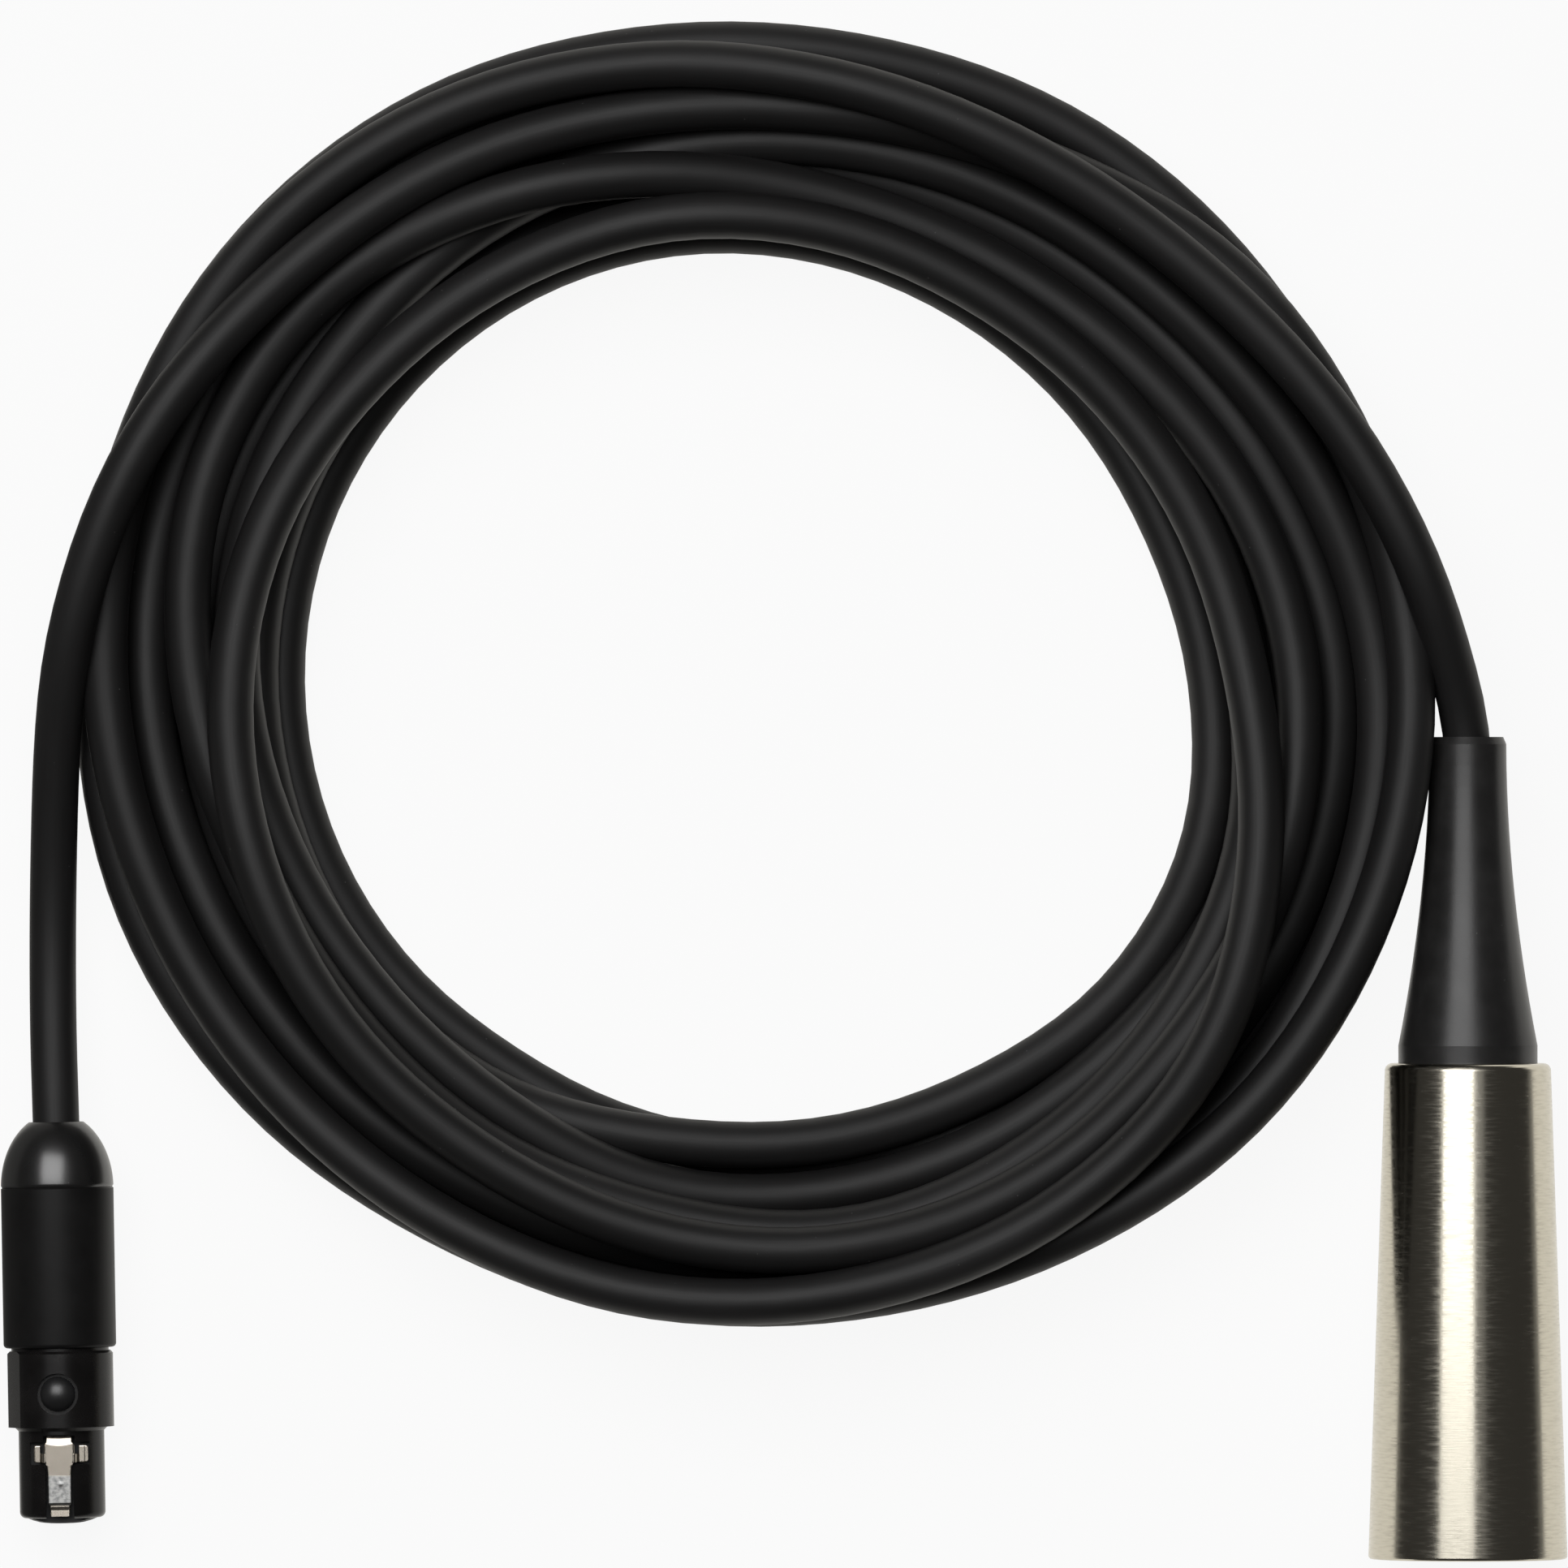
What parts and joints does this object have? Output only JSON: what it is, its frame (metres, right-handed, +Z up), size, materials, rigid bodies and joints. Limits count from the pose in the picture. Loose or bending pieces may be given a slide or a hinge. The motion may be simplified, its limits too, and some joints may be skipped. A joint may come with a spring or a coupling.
{
  "type": "coiled microphone cord",
  "caption": "Coiled black microphone cord, with a tapered metal XLR plug on one end and a small black latching mini socket on the other.",
  "frame": {"origin": "on the table plane, at the centre of the ground that the coil and both connectors cover", "axes": "+Z up from the table; -Y the way both connectors point; +X from the small socket to the large plug"},
  "size_m": [0.1509, 0.1479, 0.0191],
  "materials": {
    "cord_jacket": "matt black cord jacket",
    "nickel_shell": "satin nickel, finely brushed round",
    "black_insert": "black moulded insulator",
    "silver_contact": "silver-plated contact",
    "gold_contact": "gold-plated contact",
    "screw_steel": "zinc-plated steel",
    "tinned_brass": "tinned sheet",
    "relief_rubber": "matt black rubber",
    "black_socket": "satin black",
    "black_button": "satin black",
    "spring_steel": "bright nickel-plated spring steel",
    "wire_black": "sleeved shield",
    "wire_red": "insulated conductor",
    "wire_white": "insulated conductor"
  },
  "bodies": {
    "cord_set": {"cable_coil": "cord_jacket", "cable_lead_xlr": "cord_jacket", "cable_lead_mini": "cord_jacket", "xlr_shell": "nickel_shell", "xlr_insert": "black_insert", "xlr_contact_1": "silver_contact", "xlr_contact_2": "silver_contact", "xlr_contact_3": "silver_contact", "xlr_insert_screw": "screw_steel", "xlr_ground_tag": "tinned_brass", "xlr_strain_relief": "relief_rubber", "xlr_cable_clamp": "tinned_brass", "xlr_clamp_screw": "screw_steel", "xlr_wire_shield": "wire_black", "xlr_wire_red": "wire_red", "xlr_wire_white": "wire_white", "mini_handle": "black_socket", "mini_body": "black_socket", "mini_insert": "black_insert", "mini_contact_1": "gold_contact", "mini_contact_2": "gold_contact", "mini_contact_3": "gold_contact", "mini_cable_clamp": "tinned_brass", "mini_wire_shield": "wire_black", "mini_wire_red": "wire_red", "mini_wire_white": "wire_white"},
    "latch": {"mini_latch": "spring_steel"},
    "button": {"mini_button": "black_button"}
  },
  "joints": [
    {"name": "button_press", "type": "slide", "parent": "cord_set", "child": "button", "axis": [0.0401, 0.0007, -0.9992], "range_m": [0, 0.0004], "stiffness_N_per_m": 600, "springref_m": -0.0003},
    {"name": "latch_flex", "type": "hinge", "parent": "cord_set", "child": "latch", "pos_m": [-0.06998, -0.0462, 0.00858], "axis": [0.999, 0.0174, 0.0401], "range_deg": [0, 1.9], "stiffness_Nm_per_rad": 0.5, "springref_deg": -1.72}
  ],
  "couplings": [
    {"joint": "latch_flex", "follows": "button_press", "rad_per_m": 82.8}
  ]
}
